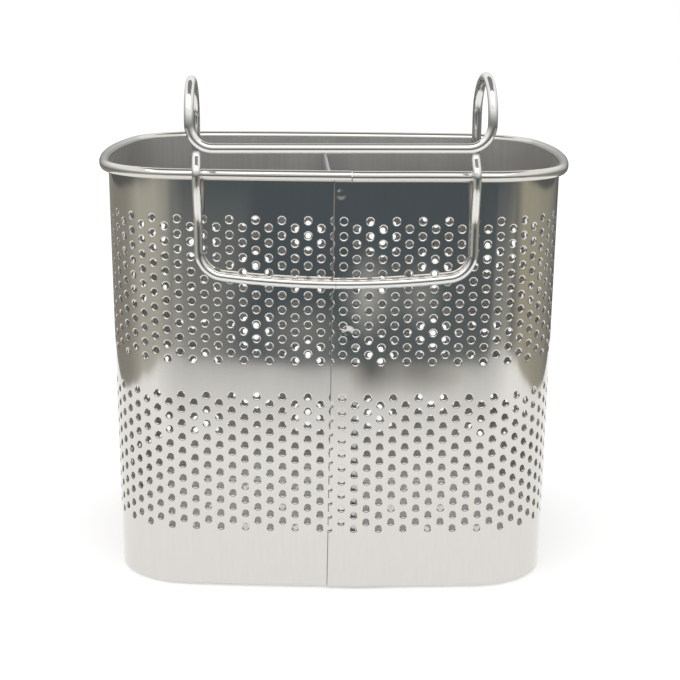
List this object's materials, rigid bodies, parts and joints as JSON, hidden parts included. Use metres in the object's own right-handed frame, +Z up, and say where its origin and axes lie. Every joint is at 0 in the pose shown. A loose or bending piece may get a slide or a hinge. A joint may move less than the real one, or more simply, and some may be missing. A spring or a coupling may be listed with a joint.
{
  "type": "utensil drying basket",
  "caption": "Rounded oblong basket of perforated stainless sheet with a beaded rim, a dividing plate and a wire frame that hooks over a rail.",
  "frame": {"origin": "middle of the underside of the bottom pan, on the surface that the basket stands on", "axes": "+Z up, +X to the right seen from the hook side, and the hook side faces -Y"},
  "size_m": [0.1658, 0.1447, 0.1789],
  "materials": {
    "wall_steel": "bright polished sheet",
    "pan_steel": "bright polished sheet",
    "divider_steel": "bright polished sheet",
    "wire_steel": "polished wire"
  },
  "bodies": {
    "root": {"perforated_wall": "wall_steel", "bottom_pan": "pan_steel", "divider": "divider_steel", "hook_wire": "wire_steel"}
  },
  "joints": []
}
